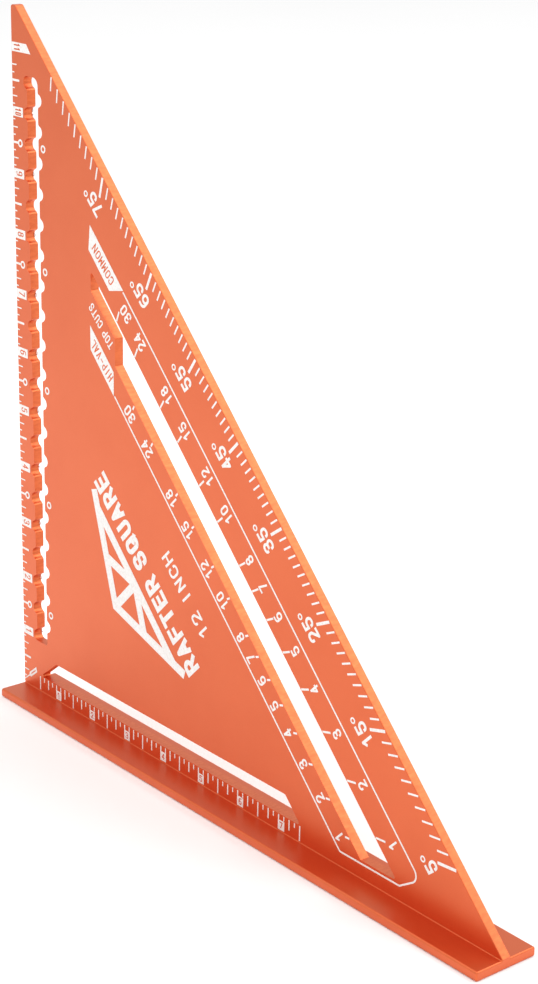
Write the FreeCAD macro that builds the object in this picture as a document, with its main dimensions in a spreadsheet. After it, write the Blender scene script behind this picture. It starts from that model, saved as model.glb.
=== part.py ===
"""A 12 inch rafter square: one aluminium T section, cut to a triangle, with printed scales.

The blade stands on the fence. Each scale, number, label and sign is a thin print of its own on the
blade's faces. Millimetres, +Z up. The origin is the middle of the fence's underside. X runs along
the fence, away from the pivot corner, and the blade's front face looks to -Y.
"""
import FreeCAD, Part
import math
import os
import re

import Sketcher
from FreeCAD import Placement, Rotation, Vector

DIMENSIONS = (
    # the T section
    ("leg", 300.0),
    ("blade_thickness", 4.0),
    ("fence_width", 29.0),
    ("fence_thickness", 3.8),
    ("root_height", 0.6),
    ("root_radius", 0.3),
    ("blade_ease", 0.3),
    ("fence_ease", 0.9),
    ("end_ease", 0.6),
    ("tip_flat", 3.2),
    ("tip_radius", 1.2),
    # the scribing slot, with a notch at each half inch of its two sides
    ("scale_inch", 25.4),
    ("scribe_left", 10.9),
    ("scribe_right", 18.6),
    ("notch_radius", 2.6),
    ("notch_count", 20),
    ("notch_lip", 1.2),
    ("scribe_corner", 3.4),
    # the slot above the fence
    ("base_slot_low", 6.7),
    ("base_slot_high", 16.2),
    ("base_slot_start", 13.1),
    ("base_slot_slant", 12.3),
    ("base_slot_end", 190.9),
    # the slot along the hypotenuse, narrow at its top end
    ("rafter_slot_outer", 33.8),
    ("rafter_slot_narrow", 39.8),
    ("rafter_slot_wide", 47.8),
    ("rafter_slot_top", 54.4),
    ("rafter_slot_step", 70.8),
    ("rafter_slot_low", 6.9),
    ("slot_radius", 0.8),
    ("diagonal", math.sqrt(2)),
    ("print_height", 0.08),
)

doc = FreeCAD.newDocument("RafterSquare")
sheet = doc.addObject("Spreadsheet::Sheet", "Dims")
for row, (alias, number) in enumerate(DIMENSIONS, start=1):
    sheet.set(f"A{row}", alias)
    sheet.set(f"B{row}", repr(number))
    sheet.setAlias(f"B{row}", alias)
scratch = doc.addObject("Spreadsheet::Sheet", "Scratch")
doc.recompute()


def bind(text):
    """An expression on the sheet, from one that names only its aliases."""
    return re.sub(r"[a-z_]{3,}", r"Dims.\g<0>", text)


def size(text):
    """The present value of an expression in the sheet's aliases."""
    scratch.set("A1", "=" + bind(text))
    scratch.recompute()
    return float(scratch.get("A1"))


LEG = size("leg")
INCH = size("scale_inch")
PRINT = size("print_height")
SQRT2 = size("diagonal")


# ---------------------------------------------------------------------------------------------
# The two metal pieces
# ---------------------------------------------------------------------------------------------


# The scales and the blade are measured up from the root's top
SCALE_ZERO = "fence_thickness + root_height"


def metal_body(name, zero):
    """A body whose own origin is at the pivot corner, at a height above the fence's underside."""
    body = doc.addObject("PartDesign::Body", name)
    body.setExpression("Placement.Base.x", bind("-leg / 2"))
    body.setExpression("Placement.Base.z", bind(zero))
    return body


def sketch_on(body, name, role, offset="0"):
    """A sketch on one of the body's own planes, moved along that plane's normal."""
    sketch = body.newObject("Sketcher::SketchObject", name)
    plane = next(item for item in body.Origin.OriginFeatures if item.Role == role)
    sketch.AttachmentSupport = [(plane, "")]
    sketch.MapMode = "FlatFace"
    sketch.setExpression("AttachmentOffset.Base.z", bind(offset))
    return sketch


def hold(sketch, geometry, point, across, up):
    """Holds a point of a sketch by its two distances from the pivot corner."""
    for kind, text in (("DistanceX", across), ("DistanceY", up)):
        number = sketch.addConstraint(
            Sketcher.Constraint(kind, -1, 1, geometry, point, size(text)))
        sketch.setExpression(f"Constraints[{number}]", bind(text))


def polygon(sketch, corners):
    """A closed outline of straight lines through corners given as pairs of expressions."""
    places = [Vector(size(across), size(up), 0) for across, up in corners]
    following = [(index + 1) % len(corners) for index in range(len(corners))]
    for index, after in enumerate(following):
        sketch.addGeometry(Part.LineSegment(places[index], places[after]), False)
    for index, after in enumerate(following):
        sketch.addConstraint(Sketcher.Constraint("Coincident", index, 2, after, 1))
    for index, (across, up) in enumerate(corners):
        hold(sketch, index, 1, across, up)
    return sketch


def pad(body, name, sketch, length):
    feature = body.newObject("PartDesign::Pad", name)
    feature.Profile = sketch
    feature.setExpression("Length", bind(length))
    doc.recompute()
    return feature


def pocket(body, name, sketch, length):
    """A cut through the blade, from a sketch on its front face, checked by the metal it takes."""
    before = body.Shape.Volume
    feature = body.newObject("PartDesign::Pocket", name)
    feature.Profile = sketch
    feature.setExpression("Length", bind(length))
    doc.recompute()
    if body.Shape.Volume > before - 1e-3:
        raise RuntimeError(f"{name} takes nothing away")
    return feature


def edges_where(shape, test):
    """The names of the edges whose middle point passes a test."""
    names = []
    for number, edge in enumerate(shape.Edges, start=1):
        middle = edge.valueAt((edge.FirstParameter + edge.LastParameter) / 2)
        if test(edge, middle):
            names.append(f"Edge{number}")
    return names


def along(edge, direction):
    """Whether an edge is straight and runs along a direction."""
    if edge.Curve.TypeId != "Part::GeomLine":
        return False
    return abs(abs(edge.tangentAt(edge.FirstParameter).dot(direction)) - 1) < 1e-6


def dress(body, kind, name, amount, test):
    """A fillet or a chamfer of the body's edges that pass a test."""
    base = body.Tip
    feature = body.newObject(f"PartDesign::{kind}", name)
    feature.Base = (base, edges_where(base.Shape, test))
    measure = "Radius" if kind == "Fillet" else "Size"
    feature.setExpression(measure, bind(amount))
    doc.recompute()
    return feature


def near(value, target):
    return abs(value - target) < 1e-3


FRONT = "blade_thickness / 2"
ALONG_X = Vector(1, 0, 0)
ALONG_Y = Vector(0, 1, 0)
ALONG_Z = Vector(0, 0, 1)
# How far a point stands clear of a limit, when edges are picked by where they are
CLEAR = 0.1


def notch_row(body, name, wall, first):
    """Round notches an even half inch apart in one side of the scribing slot."""
    sketch = sketch_on(body, name + "Sketch", "XZ_Plane", FRONT)
    centre = Vector(size(wall), size(first), 0)
    sketch.addGeometry(Part.Circle(centre, Vector(0, 0, 1), size("notch_radius")), False)
    hold(sketch, 0, 3, wall, first)
    number = sketch.addConstraint(Sketcher.Constraint("Radius", 0, size("notch_radius")))
    sketch.setExpression(f"Constraints[{number}]", bind("notch_radius"))
    cut = pocket(body, name, sketch, "blade_thickness")
    return cut, sketch


def repeat_up(body, name, cut, sketch, gaps):
    """Repeats a cut up the blade, at half-inch steps."""
    pattern = body.newObject("PartDesign::LinearPattern", name)
    pattern.Originals = [cut]
    pattern.Direction = (sketch, ["V_Axis"])
    pattern.setExpression("Length", bind(f"({gaps}) * scale_inch / 2"))
    pattern.setExpression("Occurrences", bind(f"{gaps} + 1"))
    body.Tip = pattern
    doc.recompute()
    return pattern


def make_blade():
    """The triangular plate, its tip cut flat, with its three slots."""
    body = metal_body("blade", SCALE_ZERO)
    outline = polygon(sketch_on(body, "Outline", "XZ_Plane", "-blade_thickness / 2"), (
        ("0", "0"),
        ("leg", "0"),
        ("tip_flat", "leg - tip_flat"),
        ("0", "leg - tip_flat"),
    ))
    pad(body, "Plate", outline, "blade_thickness")

    scribe = polygon(sketch_on(body, "ScribeOutline", "XZ_Plane", FRONT), (
        ("scribe_left", "scale_inch - notch_radius"),
        ("scribe_right", "scale_inch - notch_radius"),
        ("scribe_right", "scale_inch * (notch_count + 1) / 2 + notch_radius"),
        ("scribe_left", "scale_inch * (notch_count + 1) / 2 + notch_radius"),
    ))
    pocket(body, "ScribeSlot", scribe, "blade_thickness")
    cut, sketch = notch_row(body, "LeftNotch", "scribe_left", "scale_inch")
    repeat_up(body, "LeftNotches", cut, sketch, "notch_count - 1")
    cut, sketch = notch_row(body, "RightNotch", "scribe_right", "scale_inch * 5 / 4")
    repeat_up(body, "RightNotches", cut, sketch, "notch_count - 2")

    base = polygon(sketch_on(body, "BaseSlotOutline", "XZ_Plane", FRONT), (
        ("base_slot_start", "base_slot_low"),
        ("base_slot_end", "base_slot_low"),
        ("base_slot_end - base_slot_high + base_slot_low", "base_slot_high"),
        ("base_slot_start + base_slot_slant", "base_slot_high"),
    ))
    pocket(body, "BaseSlot", base, "blade_thickness")

    rafter = polygon(sketch_on(body, "RafterSlotOutline", "XZ_Plane", FRONT), (
        ("rafter_slot_top", "leg - rafter_slot_outer * diagonal - rafter_slot_top"),
        ("rafter_slot_top", "leg - rafter_slot_narrow * diagonal - rafter_slot_top"),
        ("rafter_slot_step", "leg - rafter_slot_narrow * diagonal - rafter_slot_step"),
        ("rafter_slot_step", "leg - rafter_slot_wide * diagonal - rafter_slot_step"),
        ("leg - rafter_slot_wide * diagonal - rafter_slot_low", "rafter_slot_low"),
        ("leg - rafter_slot_outer * diagonal - rafter_slot_low", "rafter_slot_low"),
    ))
    pocket(body, "RafterSlot", rafter, "blade_thickness")

    dress_blade(body)
    return body


def dress_blade(body):
    """Rounds the notches' lips, the slots' corners, the tip and the blade's outer edges."""
    walls = (size("scribe_left"), size("scribe_right"))
    slot_foot = INCH - size("notch_radius")
    slot_head = INCH * (size("notch_count") + 1) / 2 + size("notch_radius")
    half_blade = size(FRONT)

    def notch_lip(edge, middle):
        inside = slot_foot + CLEAR < middle.z < slot_head - CLEAR
        return along(edge, ALONG_Y) and inside and any(near(middle.x, wall) for wall in walls)

    def scribe_corner(edge, middle):
        return along(edge, ALONG_Y) and near(middle.x, walls[1]) and near(middle.z, slot_head)

    def slot_corner(edge, middle):
        inside = walls[0] + CLEAR < middle.x < LEG and middle.z > CLEAR
        below = middle.z < slot_head - size("scribe_corner") - CLEAR
        return along(edge, ALONG_Y) and inside and below and not notch_lip(edge, middle)

    def tip_corner(edge, middle):
        return along(edge, ALONG_Y) and near(middle.z, LEG - size("tip_flat"))

    def outer_edge(edge, middle):
        on_face = near(abs(middle.y), half_blade) and edge.Curve.TypeId == "Part::GeomLine"
        return on_face and (near(middle.x, 0) or near(middle.x + middle.z, LEG))

    dress(body, "Fillet", "NotchLips", "notch_lip", notch_lip)
    dress(body, "Fillet", "ScribeCorner", "scribe_corner", scribe_corner)
    dress(body, "Fillet", "SlotCorners", "slot_radius", slot_corner)
    dress(body, "Fillet", "TipCorners", "tip_radius", tip_corner)
    dress(body, "Fillet", "OuterEdges", "blade_ease", outer_edge)


def make_fence():
    """The flat base: a bar with a low root for the blade, blended into it on both sides."""
    body = metal_body("fence", "fence_thickness")
    section = polygon(sketch_on(body, "Section", "YZ_Plane"), (
        ("-fence_width / 2", "-fence_thickness"),
        ("fence_width / 2", "-fence_thickness"),
        ("fence_width / 2", "0"),
        ("blade_thickness / 2", "0"),
        ("blade_thickness / 2", "root_height"),
        ("-blade_thickness / 2", "root_height"),
        ("-blade_thickness / 2", "0"),
        ("-fence_width / 2", "0"),
    ))
    pad(body, "Bar", section, "leg")
    half_blade = size(FRONT)
    dress(body, "Fillet", "Root", "root_radius", lambda edge, middle: (
        along(edge, ALONG_X) and near(middle.z, 0) and near(abs(middle.y), half_blade)))
    dress(body, "Fillet", "LongEdges", "fence_ease", lambda edge, middle: (
        along(edge, ALONG_X) and near(abs(middle.y), size("fence_width / 2"))))
    dress(body, "Fillet", "Ends", "end_ease", lambda edge, middle: (
        along(edge, ALONG_Z) and near(abs(middle.y), size("fence_width / 2"))))
    return body


# ---------------------------------------------------------------------------------------------
# Print: flat shapes drawn on a face, with x along the fence from the pivot corner and y up from
# the root's top
# ---------------------------------------------------------------------------------------------

MINOR, MEDIUM, BOLD = 0.5, 0.6, 0.9
# The gap between prints that would otherwise touch
TOUCH = 0.02
OUTWARD = Vector(0, 0, PRINT)
MITRE_HALF_ANGLE = math.radians(38)


def along_edge(travel, depth):
    """The point at a travel down the hypotenuse from its top end and a depth in from it."""
    return Vector((travel - depth) / SQRT2, LEG - (travel + depth) / SQRT2, 0)


def on_ray(degrees, depth):
    """The point of a ray from the pivot corner that lies at a depth in from the hypotenuse."""
    angle = math.radians(degrees)
    reach = (LEG - depth * SQRT2) / (math.cos(angle) + math.sin(angle))
    return Vector(reach * math.cos(angle), reach * math.sin(angle), 0)


def solid(wires):
    """The area inside a wire, less its holes, as a thin print a little proud of the metal."""
    return Part.makeFace(wires, "Part::FaceMakerBullseye").extrude(OUTWARD)


def shape_of(*outlines):
    """A print with straight edges: an outline of points, and the outlines of its holes."""
    wires = [Part.makePolygon([Vector(*point) for point in (*outline, outline[0])])
             for outline in outlines]
    return solid(wires)


def corner_sides(before, corner, after, radius, half_weight):
    """The edges that a band makes at a corner of its path: those on its left, then on its right."""
    back = (before - corner).normalize()
    ahead = (after - corner).normalize()
    half = back.getAngle(ahead) / 2
    inward = (back + ahead).normalize()
    turns_left = back.cross(ahead).z < 0
    centre = corner + inward * (radius / math.sin(half))

    def arc(reach):
        starts = [(direction.cross(Vector(0, 0, sign))).normalize()
                  for direction, sign in ((back, -1), (ahead, 1))]
        outward = 1 if turns_left else -1
        first, last = (centre + start * (reach * outward) for start in starts)
        return [first, centre - inward * reach, last]

    mitre = inward * (half_weight / math.sin(half))
    inner = arc(radius - half_weight) if radius > half_weight + 0.01 else [corner + mitre]
    sharp = radius == 0 and half > MITRE_HALF_ANGLE
    outer = [corner - mitre] if sharp else arc(radius + half_weight)
    return (inner, outer) if turns_left else (outer, inner)


def band(points, weight, closed=False):
    """The wires round a path of even width. A point is (x, y) or (x, y, corner radius)."""
    corners = [Vector(point[0], point[1], 0) for point in points]
    radii = [point[2] if len(point) > 2 else 0 for point in points]
    last = len(corners) - 1
    left, right = [], []
    for index, corner in enumerate(corners):
        if not closed and index in (0, last):
            ahead = corners[1] - corner if index == 0 else corner - corners[last - 1]
            ahead = ahead.normalize() * (weight / 2)
            side = Vector(-ahead.y, ahead.x, 0)
            end = corner - ahead if index == 0 else corner + ahead
            sides = [end + side], [end - side]
        else:
            following = (index + 1) % len(corners)
            before, after = corners[index - 1], corners[following]
            room = min((before - corner).Length * (0.49 if radii[index - 1] else 0.95),
                       (after - corner).Length * (0.49 if radii[following] else 0.95))
            half = (before - corner).getAngle(after - corner) / 2
            radius = min(radii[index], room * math.tan(half))
            sides = corner_sides(before, corner, after, radius, weight / 2)
        left.append(sides[0])
        right.append(sides[1])
    if closed:
        return [wire_through(left), wire_through(right)]
    return [wire_through(left + [run[::-1] for run in reversed(right)])]


def wire_through(runs):
    """A closed wire through runs of one point, a corner, or three, an arc."""
    edges = []
    for index, run in enumerate(runs):
        if len(run) == 3:
            edges.append(Part.Arc(*run).toShape())
        start, end = run[-1], runs[(index + 1) % len(runs)][0]
        if start.distanceToPoint(end) > 1e-4:
            edges.append(Part.makeLine(start, end))
    return Part.Wire(edges)


def stroke(points, weight):
    """A print that follows a path with the same width all along, and square ends."""
    return solid(band(points, weight))


def loop(left, low, right, high, radius, weight):
    """A closed stroke round a box with round corners."""
    corners = ((left, low), (right, low), (right, high), (left, high))
    return solid(band([(*corner, radius) for corner in corners], weight, closed=True))


def ring(centre, outside, weight):
    """A ring, by its centre, outside diameter and stroke."""
    circles = [Part.Wire(Part.makeCircle(radius, centre))
               for radius in (outside / 2, outside / 2 - weight)]
    return solid(circles)


def tick(start, end, weight):
    """A straight mark with square ends."""
    side = (end - start).cross(Vector(0, 0, 1)).normalize() * (weight / 2)
    return shape_of([start + side, end + side, end - side, start - side])


def joined(pieces):
    """Overlapping prints as one."""
    if len(pieces) == 1:
        return pieces[0]
    return pieces[0].fuse(pieces[1:]).removeSplitter()


# Characters on a cell one wide and one high. A path is a list of points (x, y, corner), where the
# corner is a share of the character's width, and a loop is (left, low, right, high).
R = 0.5
CHARACTERS = {
    "0": ((0, 0, 1, 1),),
    "1": ([(0.1, 0.76), (0.58, 1), (0.58, 0)],),
    "2": ([(0, 0.74), (0, 1, R), (1, 1, R), (1, 0.6, 0.35), (0, 0), (1, 0)],),
    "3": ([(0, 0.8), (0, 1, R), (0.95, 1, R), (0.95, 0.54, 0.4), (0.35, 0.54)],
          [(0.35, 0.54), (1, 0.54, R), (1, 0, R), (0, 0, R), (0, 0.22)]),
    "4": ([(0.76, 0), (0.76, 1)], [(0.68, 0.93), (0, 0.28), (1, 0.28)]),
    "5": ([(0.92, 1), (0.1, 1), (0.02, 0.6), (1, 0.6, R), (1, 0, R), (0, 0, R), (0, 0.22)],),
    "6": ((0, 0, 1, 0.6), [(0, 0.3), (0, 1, 0.6), (0.92, 1)]),
    "7": ([(0, 1), (1, 1), (0.32, 0)],),
    "8": ((0, 0, 1, 0.54), (0.07, 0.54, 0.93, 1)),
    "9": ((0, 0.4, 1, 1), [(1, 0.7), (1, 0, 0.6), (0.08, 0)]),
    "A": ([(0, 0), (0.5, 1), (1, 0)], [(0.3, 0.27), (0.7, 0.27)]),
    "C": ([(1, 0.76), (1, 1, R), (0, 1, R), (0, 0, R), (1, 0, R), (1, 0.24)],),
    "E": ([(1, 1), (0, 1), (0, 0), (1, 0)], [(0, 0.52), (0.85, 0.52)]),
    "F": ([(1, 1), (0, 1), (0, 0)], [(0, 0.5), (0.85, 0.5)]),
    "H": ([(0, 0), (0, 1)], [(1, 0), (1, 1)], [(0, 0.52), (1, 0.52)]),
    "I": ([(0.5, 0), (0.5, 1)],),
    "L": ([(0, 1), (0, 0), (1, 0)],),
    "M": ([(0, 0), (0, 1), (0.5, 0.3), (1, 1), (1, 0)],),
    "N": ([(0, 0), (0, 1), (1, 0), (1, 1)],),
    "O": ((0, 0, 1, 1),),
    "P": ([(0, 0), (0, 1)], [(0, 1), (1, 1, R), (1, 0.46, R), (0, 0.46)]),
    "Q": ((0, 0, 1, 1), [(0.62, 0.3), (0.98, 0.02)]),
    "R": ([(0, 0), (0, 1)], [(0, 1), (1, 1, R), (1, 0.46, R), (0, 0.46)], [(0.62, 0.35), (1, 0)]),
    "S": ([(1, 0.8), (1, 1, R), (0, 1, R), (0, 0.52, 0.45), (1, 0.52, 0.45), (1, 0, R), (0, 0, R),
           (0, 0.2)],),
    "T": ([(0, 1), (1, 1)], [(0.5, 1), (0.5, 0)]),
    "U": ([(0, 1), (0, 0, R), (1, 0, R), (1, 1)],),
    "V": ([(0, 1), (0.5, 0), (1, 1)],),
    "-": ([(0.1, 0.5), (0.9, 0.5)],),
}


def character(name, width, height, weight):
    """One character as a print, its lower left corner at the origin."""
    wide, high = width - weight, height - weight

    def place(across, up):
        return weight / 2 + across * wide, weight / 2 + up * high

    pieces = []
    for path in CHARACTERS[name]:
        if isinstance(path, tuple):
            radius = min(R * wide, (path[3] - path[1]) * high / 2)
            pieces.append(loop(*place(*path[:2]), *place(*path[2:]), radius * 0.98, weight))
        else:
            pieces.append(stroke([(*place(*point[:2]), *(share * wide for share in point[2:]))
                                  for point in path], weight))
    return joined(pieces)


def turned(shape, degrees, place):
    """A print turned about its origin and moved to a place on the face."""
    moved = shape.copy()
    moved.Placement = Placement(place, Rotation(Vector(0, 0, 1), degrees)) * shape.Placement
    return moved


def word(text, width, height, weight, gap, degrees, centre):
    """A line of characters whose middle is at a place; a space is half a character."""
    steps = [width / 2 if letter == " " else width for letter in text]
    at = -(sum(steps) + gap * (len(text) - 1)) / 2
    letters = []
    for letter, step in zip(text, steps):
        if letter != " ":
            glyph = character(letter, width, height, weight)
            glyph.translate(Vector(at, -height / 2, 0))
            letters.append(turned(glyph, degrees, centre))
        at += step + gap
    return letters


def reversed_out(plate, letters):
    """A printed plate with its characters left as bare metal."""
    return plate.cut(letters).Solids


# Text along the hypotenuse reads up it, with its feet towards the edge
UP_THE_EDGE = 135
# Text of the upright scale reads down it
DOWN = -90


# One half inch in four is ringed, on both sides of the scribing slot
RINGED_HALVES = (3, 7, 11, 15, 19)
RING_X, RING_FAR_X, RING_SIZE, RING_WEIGHT = 5.3, 21.9, 3.3, 0.75
# The upright scale starts this far in from the edge and ends short of its last inch
EDGE_GAP, UPRIGHT_EIGHTHS = 0.4, 87
EIGHTH_MARK, QUARTER_MARK, HALF_MARK = 1.9, 3.7, 5.4


def upright_ticks():
    """The marks of the upright edge, each eighth of an inch."""
    marks = []
    for eighth in range(1, UPRIGHT_EIGHTHS):
        if eighth % 8 == 0:
            continue
        end, weight = (EIGHTH_MARK if eighth % 2 else QUARTER_MARK), MINOR
        if eighth % 4 == 0:
            ringed = eighth // 4 in RINGED_HALVES
            end, weight = (RING_X - RING_SIZE / 2 - TOUCH if ringed else HALF_MARK), BOLD
        height = eighth * INCH / 8
        marks.append(tick(Vector(EDGE_GAP, height, 0), Vector(end, height, 0), weight))
    return marks


def scribe_rings():
    return [ring(Vector(across, half * INCH / 2, 0), RING_SIZE, RING_WEIGHT)
            for half in RINGED_HALVES for across in (RING_X, RING_FAR_X)]


# A plate's lower and upper edge from its inch, and how far in its two right corners are
INCH_PLATE = (-1.95, 1.95, 7.6, 7.6)
TOP_PLATE = (-1.1, 2.6, 13.9, 10.9)
WIDE_DIGIT, NARROW_DIGIT, DIGIT_HEIGHT, DIGIT_GAP = 2.0, 1.4, 4.4, 0.25
UPRIGHT_TEXT_X, REVERSED_WEIGHT = 4.2, 0.6


def upright_numbers():
    """White plates at the inches of the upright edge, with the number left bare in each."""
    plates = []
    for inch in range(1, 12):
        low, high, right_low, right_high = TOP_PLATE if inch == 11 else INCH_PLATE
        height = inch * INCH
        corners = [(EDGE_GAP, height + low), (right_low, height + low),
                   (right_high, height + high), (EDGE_GAP, height + high)]
        width = NARROW_DIGIT if inch >= 10 else WIDE_DIGIT
        place = Vector(UPRIGHT_TEXT_X, height + (low + high) / 2, 0)
        letters = word(str(inch), width, DIGIT_HEIGHT, REVERSED_WEIGHT, DIGIT_GAP, DOWN, place)
        plates.extend(reversed_out(shape_of(corners), letters))
    return plates


# The scale along the fence fills the strip between the root and the long slot
BASE_TOP = size("base_slot_low") - 0.35
BASE_FOOT = 0.05
BASE_EIGHTHS = (4, 61)
BASE_EIGHTH_MARK, BASE_QUARTER_MARK = 2.0, 4.4
# A plate of the scale along the fence: how far it reaches past its mark, and its upper edge
BASE_PLATE_REACH, BASE_PLATE_TOP = 3.5, 4.1
BASE_DIGIT_WIDTH, BASE_DIGIT_HEIGHT, BASE_DIGIT_WEIGHT = 1.9, 2.9, 0.5


def base_ticks():
    """The marks under the long slot, hanging from its lower edge."""
    marks = []
    for eighth in range(*BASE_EIGHTHS):
        if eighth % 8 == 0:
            continue
        length, weight = (BASE_EIGHTH_MARK, MINOR) if eighth % 2 else (BASE_QUARTER_MARK, MEDIUM)
        if eighth % 4 == 0:
            length = BASE_TOP - BASE_FOOT
        top = Vector(eighth * INCH / 8, BASE_TOP, 0)
        marks.append(tick(top, top - Vector(0, length, 0), weight))
    return marks


def base_numbers():
    """A full mark at each inch of the fence, with a small plate and its bare number."""
    plates = []
    for inch in range(1, 8):
        left, right = inch * INCH - MEDIUM / 2, inch * INCH + MEDIUM / 2
        end = inch * INCH + BASE_PLATE_REACH
        outline = [(left, BASE_FOOT), (end, BASE_FOOT), (end, BASE_PLATE_TOP),
                   (right, BASE_PLATE_TOP), (right, BASE_TOP), (left, BASE_TOP)]
        place = Vector((left + end) / 2, (BASE_FOOT + BASE_PLATE_TOP) / 2, 0)
        digit = word(str(inch), BASE_DIGIT_WIDTH, BASE_DIGIT_HEIGHT, BASE_DIGIT_WEIGHT, 0, 0, place)
        plates.extend(reversed_out(shape_of(outline), digit))
    return plates


def pivot_mark():
    """A pointer from the pivot corner, widening to a small plate with a bare line in it."""
    plate = turned(shape_of([(0, -0.2), (4.6, -0.3), (5.2, -1.1), (11.4, -1.1), (12.2, 1.1),
                             (5.6, 1.1), (4.6, 0.3), (0, 0.2)],
                            [(6.2, -0.25), (10.6, -0.25), (10.8, 0.25), (6.4, 0.25)]),
                   38, Vector(0.5, 1.2, 0))
    return [plate]


EDGE_START = 0.35
DEGREES = range(5, 85)
MAJOR_DEPTH, MAJOR_WEIGHT, MINOR_DEPTH, MINOR_WEIGHT = 7.6, 1.2, 4.7, 0.75
DEGREE_WIDTH, DEGREE_HEIGHT, DEGREE_WEIGHT, DEGREE_GAP = 4.2, 6.6, 1.15, 0.9
DEGREE_DEPTH = 12.0
# The degree sign: how far past the number and above its middle, its size and its stroke
SIGN_PAST, SIGN_RISE, SIGN_SIZE, SIGN_WEIGHT = 2.0, 2.2, 2.6, 0.6


def is_major(degrees):
    return degrees % 10 == 5


def degree_ticks(major):
    """The marks of the degree scale, on rays from the pivot corner."""
    depth, weight = (MAJOR_DEPTH, MAJOR_WEIGHT) if major else (MINOR_DEPTH, MINOR_WEIGHT)
    return [tick(on_ray(degrees, EDGE_START), on_ray(degrees, depth), weight)
            for degrees in DEGREES if is_major(degrees) == major]


def degree_number(degrees):
    """A number of the degree scale and its degree sign."""
    text = str(degrees)
    centre = travel_of(on_ray(degrees, MAJOR_DEPTH))
    letters = word(text, DEGREE_WIDTH, DEGREE_HEIGHT, DEGREE_WEIGHT, DEGREE_GAP, UP_THE_EDGE,
                   along_edge(centre, DEGREE_DEPTH))
    end = centre - (DEGREE_WIDTH * len(text) + DEGREE_GAP * (len(text) - 1)) / 2
    sign = ring(along_edge(end - SIGN_PAST, DEGREE_DEPTH + SIGN_RISE), SIGN_SIZE, SIGN_WEIGHT)
    return letters + [sign]


def travel_of(point):
    """How far down the hypotenuse a point lies."""
    return (point.x - point.y + LEG) / SQRT2


RAFTER_NUMBERS = (30, 24, 18, 15, 12, 10, 8, 7, 6, 5, 4, 3, 2, 1)
COMMON_RUN = 12
HIP_RUN = COMMON_RUN * math.sqrt(2)
RAFTER_WIDTH, RAFTER_HEIGHT, RAFTER_WEIGHT, RAFTER_GAP = 3.1, 5.2, 0.85, 0.7
MARK_WEIGHT = 0.8
# The depths of a rafter scale: its marks' two ends, where its numbers' rays are met, its numbers
COMMON_DEPTHS = (29.4, 33.4, 26.3, 26.2)
HIP_DEPTHS = (48.2, 50.0, 50.8, 53.2)
# How far down the edge numbers stand from their rays: all the hip scale's, and the first common one
HIP_DRIFT, FIRST_COMMON_DRIFT = -0.75, 4.5


def rafter_ticks(run, depths):
    """The marks of a rafter scale, on the rays that rise each number over a run."""
    angles = [math.degrees(math.atan2(rise, run)) for rise in RAFTER_NUMBERS]
    return [tick(on_ray(angle, depths[0]), on_ray(angle, depths[1]), MARK_WEIGHT)
            for angle in angles]


def rafter_numbers(run, depths, drift, first_drift):
    """The numbers of a rafter scale. The first stands clear of the scale's label."""
    letters = []
    for rise in RAFTER_NUMBERS:
        travel = travel_of(on_ray(math.degrees(math.atan2(rise, run)), depths[2]))
        travel += first_drift if rise == RAFTER_NUMBERS[0] else drift
        letters.extend(word(str(rise), RAFTER_WIDTH, RAFTER_HEIGHT, RAFTER_WEIGHT, RAFTER_GAP,
                            UP_THE_EDGE, along_edge(travel, depths[3])))
    return letters


# Places along the hypotenuse are a travel down it from its top end, and a depth in from it
BORDER_OUTER, BORDER_INNER, BORDER_LOW, BORDER_WEIGHT = 21.5, 57.0, 5.55, 0.7
COMMON_PLATE = ((97.8, 21.0), (129.4, 21.0), (124.1, 28.9), (104.2, 28.9))
HIP_PLATE = ((126.6, 50.4), (149.2, 50.4), (156.2, 57.4), (133.9, 57.4))
LABEL_HEIGHT, LABEL_WEIGHT, LABEL_GAP = 4.2, 0.65, 0.55


def label(text, corners, width, travel, depth):
    """A white plate along the hypotenuse with its words left bare."""
    plate = shape_of([along_edge(*corner) for corner in corners])
    letters = word(text, width, LABEL_HEIGHT, LABEL_WEIGHT, LABEL_GAP, UP_THE_EDGE,
                   along_edge(travel, depth))
    return reversed_out(plate, letters)


def cut_label():
    """The words beside the slanted slot."""
    return word("TOP CUTS", 2.2, 4.1, 0.6, 0.55, UP_THE_EDGE, along_edge(131.0, 44.1))


def size_label():
    """The square's size, under the title."""
    return word("12 INCH", 4.6, 6.6, 1.05, 1.3, UP_THE_EDGE, along_edge(240.0, 73.6))


def title_label():
    """The generic name of the tool."""
    return word("RAFTER SQUARE", 6.3, 9.8, 2.1, 1.1, UP_THE_EDGE, along_edge(220.5, 91.3))


def scale_border():
    """The line round the two rafter scales, from one label to the other."""
    start = along_edge(COMMON_PLATE[1][0] + BORDER_WEIGHT, BORDER_OUTER)
    end = along_edge(HIP_PLATE[2][0] + BORDER_WEIGHT, BORDER_INNER)
    outer_sum, inner_sum = LEG - BORDER_OUTER * SQRT2, LEG - BORDER_INNER * SQRT2
    turn, foot = 257.4, 246.8
    return [stroke([(start.x, start.y), (turn, outer_sum - turn, 3.5), (foot, BORDER_LOW, 1.0),
                    (inner_sum - BORDER_LOW, BORDER_LOW, 1.0), (end.x, end.y)], BORDER_WEIGHT)]


def truss_sign():
    """A plain roof truss: two rafters past a tie, a post and two struts."""
    span, rise, overhang, weight = 74.0, 19.5, 5.0, 4.0
    slope = rise / (span / 2)
    half, web = span / 2, weight / 2
    lines = (
        [(-half - overhang, -overhang * slope), (0, rise), (half + overhang, -overhang * slope)],
        [(web - half, 0), (half - web, 0)],
        [(0, 0), (0, rise - web)],
        [(-web, web * slope), (-half / 2 + web, rise / 2 - web * slope)],
        [(web, web * slope), (half / 2 - web, rise / 2 - web * slope)],
    )
    return [turned(joined([stroke(line, weight) for line in lines]), UP_THE_EDGE,
                   along_edge(220.5, 101.8))]


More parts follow.
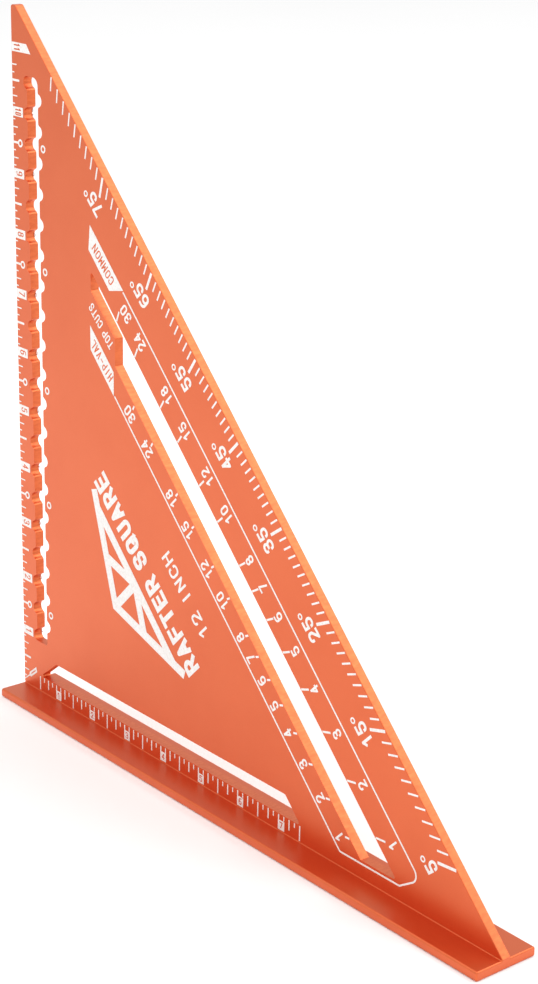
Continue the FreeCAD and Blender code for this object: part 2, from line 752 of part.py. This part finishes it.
# On the back face the hypotenuse's text reads down it, with its feet towards the edge
DOWN_THE_EDGE = 225
BACK_TEXT_X, BACK_DIGIT_WIDTH, BACK_DIGIT_HEIGHT = 7.4, 1.7, 3.4


def back_ticks(marks):
    """Marks of the front face as the back face has them, from the same edges of the blade."""
    return [mark.mirror(Vector(), ALONG_X) for mark in marks]


def back_upright_numbers():
    """Plain numbers at the inches of the upright edge, on the back face."""
    letters = []
    for inch in range(1, 12):
        place = Vector(-BACK_TEXT_X, inch * INCH, 0)
        letters.extend(word(str(inch), BACK_DIGIT_WIDTH, BACK_DIGIT_HEIGHT, MINOR, DIGIT_GAP, -DOWN, place))
    return letters


def back_degree_numbers():
    """The numbers of the degree scale's major marks, on the back face."""
    letters = []
    for degrees in filter(is_major, DEGREES):
        place = along_edge(travel_of(on_ray(degrees, MAJOR_DEPTH)), DEGREE_DEPTH)
        place.x = -place.x
        letters.extend(word(str(degrees), DEGREE_WIDTH, DEGREE_HEIGHT, DEGREE_WEIGHT, DEGREE_GAP,
                            DOWN_THE_EDGE, place))
    return letters


FRONT_PRINTS = {
    "upright_inch_ticks": upright_ticks(),
    "upright_inch_numbers": upright_numbers(),
    "scribe_rings": scribe_rings(),
    "base_inch_ticks": base_ticks(),
    "base_inch_numbers": base_numbers(),
    "pivot_mark": pivot_mark(),
    "degree_ticks_minor": degree_ticks(False),
    "degree_ticks_major": degree_ticks(True),
    **{f"degree_number_{degrees:02d}": degree_number(degrees)
       for degrees in filter(is_major, DEGREES)},
    "common_ticks": rafter_ticks(COMMON_RUN, COMMON_DEPTHS),
    "common_numbers": rafter_numbers(COMMON_RUN, COMMON_DEPTHS, 0, FIRST_COMMON_DRIFT),
    "common_label": label("COMMON", COMMON_PLATE, 2.55, 114.2, 24.9),
    "hip_ticks": rafter_ticks(HIP_RUN, HIP_DEPTHS),
    "hip_numbers": rafter_numbers(HIP_RUN, HIP_DEPTHS, HIP_DRIFT, 0),
    "hip_label": label("HIP-VAL", HIP_PLATE, 2.15, 141.4, 53.9),
    "scale_border": scale_border(),
    "plumb_cut_label": cut_label(),
    "size_label": size_label(),
    "truss_sign": truss_sign(),
    "title_label": title_label(),
}
BACK_PRINTS = {
    "back_upright_ticks": back_ticks(upright_ticks()),
    "back_upright_numbers": back_upright_numbers(),
    "back_degree_ticks": back_ticks(degree_ticks(False) + degree_ticks(True)),
    "back_degree_numbers": back_degree_numbers(),
}


def make_print(name, pieces, side):
    """One print as an object of its own, standing on a face of the blade: side -1 front, 1 back."""
    piece = doc.addObject("Part::Feature", name)
    piece.Shape = Part.makeCompound(pieces)
    face_corner = Vector(-LEG / 2, side * size(FRONT), size(SCALE_ZERO))
    half_turn = Rotation(ALONG_Z, 180 if side > 0 else 0)
    piece.Placement = Placement(face_corner, half_turn * Rotation(ALONG_X, 90))
    return piece


parts = [make_blade(), make_fence()]
for side, prints in ((-1, FRONT_PRINTS), (1, BACK_PRINTS)):
    parts.extend(make_print(name, pieces, side) for name, pieces in prints.items())
doc.recompute()

failed = [item.Name for item in doc.Objects if {"Invalid", "Error"} & set(item.State)]
failed += [part.Label for part in parts if part.Shape.isNull() or not part.Shape.isValid()]
if failed:
    raise RuntimeError("these did not build: " + ", ".join(failed))

os.makedirs("parts", exist_ok=True)
for part in parts:
    part.Shape.exportStep(f"parts/{part.Label}.step")
print(len(parts), "pieces,", sum(len(part.Shape.Solids) for part in parts), "solids")
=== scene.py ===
"""The looks of the speed square: satin orange anodised metal with white printed scales."""
import math

import bpy
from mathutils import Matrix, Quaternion, Vector


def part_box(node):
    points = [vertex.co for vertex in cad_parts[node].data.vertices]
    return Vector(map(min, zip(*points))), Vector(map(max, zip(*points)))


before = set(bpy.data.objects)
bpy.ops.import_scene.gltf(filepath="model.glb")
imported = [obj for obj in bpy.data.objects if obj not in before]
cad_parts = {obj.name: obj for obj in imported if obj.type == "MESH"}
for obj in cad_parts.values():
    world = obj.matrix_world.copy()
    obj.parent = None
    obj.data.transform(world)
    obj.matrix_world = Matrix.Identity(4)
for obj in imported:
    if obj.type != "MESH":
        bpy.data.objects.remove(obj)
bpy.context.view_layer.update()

# ---------------------------------------------------------------- driving values
# Places and sizes are in metres, the camera's roll is in degrees, its lens and sensor in mm
BLADE_NODE = "blade"
FENCE_NODE = "fence"
BLADE_LOW, BLADE_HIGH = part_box("blade")
BLADE_MIDDLE = (BLADE_LOW + BLADE_HIGH) / 2

CAMERA_PLACE = Vector((0.6119, -0.4941, 0.4058))
CAMERA_TARGET = Vector((0.0161, 0.0, 0.1389))
CAMERA_ROLL = 1.00
CAMERA_LENS = 80.44
CAMERA_SENSOR = 36.0
CAMERA_CLIP = (0.05, 50.0)

FLOOR_SIZE = 14.0
# The sky dims towards one side, between these two cosines of the angle to it
SKY_STRENGTH = 0.95
SKY_DIM_STRENGTH = 0.84
SKY_DIM_SIDE = Vector((-0.733, 0.598, 0.325))
SKY_DIM_COSINES = (0.55, 0.95)
# Softboxes: place, target, side and power
KEY_SOFTBOX = (BLADE_MIDDLE + Vector((0.75, 1.4, 1.75)), BLADE_MIDDLE, 1.8, 21.0)
TOP_SOFTBOX = (Vector((-0.15, -0.35, 1.3)), Vector((-0.15, -0.25, 0.0)), 1.0, 5.4)

# Colours
FACE_ORANGE = (0.72, 0.145, 0.045, 1.0)
DEEP_ORANGE = (0.70, 0.135, 0.040, 1.0)
# Lighter, yellower orange on the blade's edge faces: a painted highlight, blended towards CUT_DARK by
# the milled grain
CUT_HIGHLIGHT_ORANGE = (0.76, 0.170, 0.050, 1.0)
CUT_DARK = (0.70, 0.145, 0.042, 1.0)
INK_WHITE = (0.88, 0.87, 0.85, 1.0)
INK_THIN = (0.80, 0.77, 0.74, 1.0)
FLOOR_PALE = (0.96, 0.96, 0.96, 1.0)
FLOOR_WHITE = (0.98, 0.98, 0.98, 1.0)
SKY_WHITE = (1.0, 1.0, 1.0, 1.0)

# Grains: features a metre along X, Y and Z, then the noise's detail and roughness
CLOUDS = ((28.0, 28.0, 28.0), 3.0, 0.5)
SPECKS = ((2600.0, 2600.0, 2600.0), 2.0, 0.5)
DRAW_LINES = ((9.0, 1500.0, 1500.0), 3.0, 0.6)
MILLED_GRAIN = ((900.0, 260.0, 900.0), 3.0, 0.65)
INK_LAYER = ((900.0, 900.0, 900.0), 3.0, 0.5)
INK_PINHOLES = ((3200.0, 3200.0, 3200.0), 1.0, 0.5)
FLOOR_MOTTLE = ((3.0, 3.0, 3.0), 2.0, 0.5)

# The stretches of a noise's values over which a look changes
COLOUR_SPREAD = (0.3, 0.7)
SHEEN_SPREAD = (0.25, 0.75)
INK_THINNING = (0.35, 0.75)
PINHOLE_OPENING = (0.70, 0.78)
PINHOLE_SHARE = 0.8

# Roughness, from the smoothest spot to the roughest
FACE_ROUGHNESS = (0.36, 0.46)
CUT_ROUGHNESS = (0.40, 0.50)
INK_ROUGHNESS = (0.48, 0.62)
COAT_WEIGHT, COAT_ROUGHNESS, COAT_IOR = 0.4, 0.3, 1.5
INK_SPECULAR = 0.4
FLOOR_ROUGHNESS = 0.9
# The share of the normal along Y over which a cut edge turns into a drawn face
CUT_TO_FACE = (0.2, 0.6)
BUMP_DEPTH = 0.00001
SPECK_BUMP, DRAW_BUMP, INK_BUMP = 0.6, 0.5, 0.5
FACE_DIRECTION = Vector((0.0, 1.0, 0.0))


# ---------------------------------------------------------------- small helpers for node trees
def new_material(name):
    """An empty material with a Principled shader wired to its output."""
    material = bpy.data.materials.new(name)
    material.use_nodes = True
    tree = material.node_tree
    tree.nodes.clear()
    shader = tree.nodes.new("ShaderNodeBsdfPrincipled")
    output = tree.nodes.new("ShaderNodeOutputMaterial")
    tree.links.new(shader.outputs["BSDF"], output.inputs["Surface"])
    return material, tree, shader


def plug(tree, value, socket):
    """Links a node's output to a socket, or writes a plain value into it."""
    if isinstance(value, bpy.types.NodeSocket):
        tree.links.new(value, socket)
    else:
        socket.default_value = value


def noise(tree, scale, detail, roughness):
    """A noise value from 0 to 1, of one of the grains above, in object space."""
    place = tree.nodes.new("ShaderNodeTexCoord")
    mapping = tree.nodes.new("ShaderNodeMapping")
    mapping.inputs["Scale"].default_value = scale
    tree.links.new(place.outputs["Object"], mapping.inputs["Vector"])
    node = tree.nodes.new("ShaderNodeTexNoise")
    node.inputs["Scale"].default_value = 1.0
    node.inputs["Detail"].default_value = detail
    node.inputs["Roughness"].default_value = roughness
    tree.links.new(mapping.outputs["Vector"], node.inputs["Vector"])
    return node.outputs["Fac"]


def remap(tree, value, low, high, out_low=0.0, out_high=1.0):
    """Maps a value from one range to another, clamped and smoothed at its ends."""
    node = tree.nodes.new("ShaderNodeMapRange")
    node.interpolation_type = "SMOOTHSTEP"
    node.inputs["From Min"].default_value = low
    node.inputs["From Max"].default_value = high
    node.inputs["To Min"].default_value = out_low
    node.inputs["To Max"].default_value = out_high
    tree.links.new(value, node.inputs["Value"])
    return node.outputs["Result"]


def blend(tree, kind, share, first, second):
    """A mix of two colours (kind RGBA) or numbers (FLOAT), each plain or a node's output."""
    node = tree.nodes.new("ShaderNodeMix")
    node.data_type = kind
    plug(tree, share, node.inputs["Factor"])
    plug(tree, first, node.inputs["A"])
    plug(tree, second, node.inputs["B"])
    return node.outputs["Result"]


def bump(tree, height, strength, under=None):
    """A shallow bump, on top of another bump if one is given."""
    node = tree.nodes.new("ShaderNodeBump")
    node.inputs["Distance"].default_value = BUMP_DEPTH
    node.inputs["Strength"].default_value = strength
    tree.links.new(height, node.inputs["Height"])
    if under is not None:
        tree.links.new(under, node.inputs["Normal"])
    return node.outputs["Normal"]


def along(tree, vector, direction):
    """How far a vector output points in a direction: 1 straight along it, -1 straight against it."""
    dot = tree.nodes.new("ShaderNodeVectorMath")
    dot.operation = "DOT_PRODUCT"
    tree.links.new(vector, dot.inputs[0])
    dot.inputs[1].default_value = direction.normalized()
    return dot.outputs["Value"]


# ---------------------------------------------------------------- materials
def anodised(name, cut_and_highlight_share):
    """Satin orange anodised aluminium: drawn faces, and milled cut edges by their share, which also
    paints those edges a lighter, yellower orange as a painted highlight.
    """
    material, tree, shader = new_material(name)
    clouds = noise(tree, *CLOUDS)
    specks = noise(tree, *SPECKS)
    draw_lines = noise(tree, *DRAW_LINES)
    milled_grain = noise(tree, *MILLED_GRAIN)
    drawn = blend(tree, "RGBA", remap(tree, clouds, *COLOUR_SPREAD), FACE_ORANGE, DEEP_ORANGE)
    # The edge colour: a painted highlight, varied by the real milled grain
    milled_grain_and_highlight = blend(tree, "RGBA", remap(tree, milled_grain, *COLOUR_SPREAD), CUT_HIGHLIGHT_ORANGE, CUT_DARK)
    surface = tree.nodes.new("ShaderNodeNewGeometry")
    side = tree.nodes.new("ShaderNodeMath")
    side.operation = "ABSOLUTE"
    tree.links.new(along(tree, surface.outputs["Normal"], FACE_DIRECTION), side.inputs[0])
    # Share of the edge look by which way a surface faces: real milled roughness, and the painted
    # highlight in the colour
    cut_and_highlight = remap(tree, side.outputs["Value"], *CUT_TO_FACE, cut_and_highlight_share, 0.0)
    shader.inputs["Metallic"].default_value = 1.0
    plug(tree, blend(tree, "RGBA", cut_and_highlight, drawn, milled_grain_and_highlight), shader.inputs["Base Color"])
    face_rough = remap(tree, specks, *SHEEN_SPREAD, *FACE_ROUGHNESS)
    cut_rough = remap(tree, milled_grain, *SHEEN_SPREAD, *CUT_ROUGHNESS)
    plug(tree, blend(tree, "FLOAT", cut_and_highlight, face_rough, cut_rough), shader.inputs["Roughness"])
    shader.inputs["Coat Weight"].default_value = COAT_WEIGHT
    shader.inputs["Coat Roughness"].default_value = COAT_ROUGHNESS
    shader.inputs["Coat IOR"].default_value = COAT_IOR
    speckled = bump(tree, specks, SPECK_BUMP)
    plug(tree, bump(tree, draw_lines, DRAW_BUMP, speckled), shader.inputs["Normal"])
    return material


def ink(name):
    """White screen-printed ink, slightly uneven, with the metal showing in a few pinholes."""
    material, tree, shader = new_material(name)
    layer = noise(tree, *INK_LAYER)
    pinholes = noise(tree, *INK_PINHOLES)
    white = blend(tree, "RGBA", remap(tree, layer, *INK_THINNING), INK_WHITE, INK_THIN)
    holes = remap(tree, pinholes, *PINHOLE_OPENING, 0.0, PINHOLE_SHARE)
    plug(tree, blend(tree, "RGBA", holes, white, FACE_ORANGE), shader.inputs["Base Color"])
    plug(tree, remap(tree, layer, *COLOUR_SPREAD, *INK_ROUGHNESS), shader.inputs["Roughness"])
    shader.inputs["Specular IOR Level"].default_value = INK_SPECULAR
    plug(tree, bump(tree, layer, INK_BUMP), shader.inputs["Normal"])
    return material


def pale_floor(name):
    """The studio's white sweep."""
    material, tree, shader = new_material(name)
    mottle = noise(tree, *FLOOR_MOTTLE)
    plug(tree, blend(tree, "RGBA", mottle, FLOOR_PALE, FLOOR_WHITE), shader.inputs["Base Color"])
    shader.inputs["Roughness"].default_value = FLOOR_ROUGHNESS
    shader.inputs["Specular IOR Level"].default_value = 0.0
    return material


def dress_nodes():
    """Gives every CAD node its material: the two metal nodes their own, the prints the ink."""
    # The blade gets the painted edge highlight in full, the fence none
    metals = {BLADE_NODE: anodised("blade_anodised", 1.0), FENCE_NODE: anodised("fence_anodised", 0.0)}
    white_ink = ink("white_ink")
    for node_name in sorted(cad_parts):
        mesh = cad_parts[node_name].data
        mesh.materials.clear()
        mesh.materials.append(metals.get(node_name, white_ink))


# ---------------------------------------------------------------- studio
def make_floor():
    """A wide pale floor, level with the fence's underside."""
    mesh = bpy.data.meshes.new("studio_floor")
    half = FLOOR_SIZE / 2
    corners = [(-half, -half, 0.0), (half, -half, 0.0), (half, half, 0.0), (-half, half, 0.0)]
    mesh.from_pydata(corners, [], [(0, 1, 2, 3)])
    mesh.materials.append(pale_floor("studio_white"))
    floor = bpy.data.objects.new("studio_floor", mesh)
    bpy.context.scene.collection.objects.link(floor)


def make_sky():
    """White light from all round, dimmer low down behind the blade."""
    world = bpy.data.worlds.new("studio_world")
    world.use_nodes = True
    tree = world.node_tree
    background = tree.nodes["Background"]
    background.inputs["Color"].default_value = SKY_WHITE
    direction = tree.nodes.new("ShaderNodeTexCoord")
    toward_dim = along(tree, direction.outputs["Generated"], SKY_DIM_SIDE)
    strength = remap(tree, toward_dim, *SKY_DIM_COSINES, SKY_STRENGTH, SKY_DIM_STRENGTH)
    tree.links.new(strength, background.inputs["Strength"])
    bpy.context.scene.world = world


def make_softbox(name, place, target, side, power):
    """A square lamp that looks at a point and isn't seen itself."""
    lamp = bpy.data.lights.new(name, "AREA")
    lamp.shape = "RECTANGLE"
    lamp.size = side
    lamp.size_y = side
    lamp.energy = power
    holder = bpy.data.objects.new(name, lamp)
    holder.location = place
    holder.rotation_mode = "QUATERNION"
    holder.rotation_quaternion = (target - place).to_track_quat("-Z", "Y")
    holder.visible_camera = False
    bpy.context.scene.collection.objects.link(holder)


def make_camera():
    """The camera, at the photographed angle, with its long side upright."""
    lens = bpy.data.cameras.new("camera")
    lens.type = "PERSP"
    lens.lens = CAMERA_LENS
    lens.sensor_width = CAMERA_SENSOR
    lens.clip_start, lens.clip_end = CAMERA_CLIP
    camera = bpy.data.objects.new("camera", lens)
    camera.location = CAMERA_PLACE
    camera.rotation_mode = "QUATERNION"
    level = (CAMERA_TARGET - CAMERA_PLACE).to_track_quat("-Z", "Y")
    camera.rotation_quaternion = level @ Quaternion((0.0, 0.0, 1.0), math.radians(CAMERA_ROLL))
    bpy.context.scene.collection.objects.link(camera)
    bpy.context.scene.camera = camera


dress_nodes()
make_floor()
make_sky()
make_softbox("key_softbox", *KEY_SOFTBOX)
make_softbox("top_softbox", *TOP_SOFTBOX)
make_camera()
bpy.context.scene.view_settings.view_transform = "Standard"
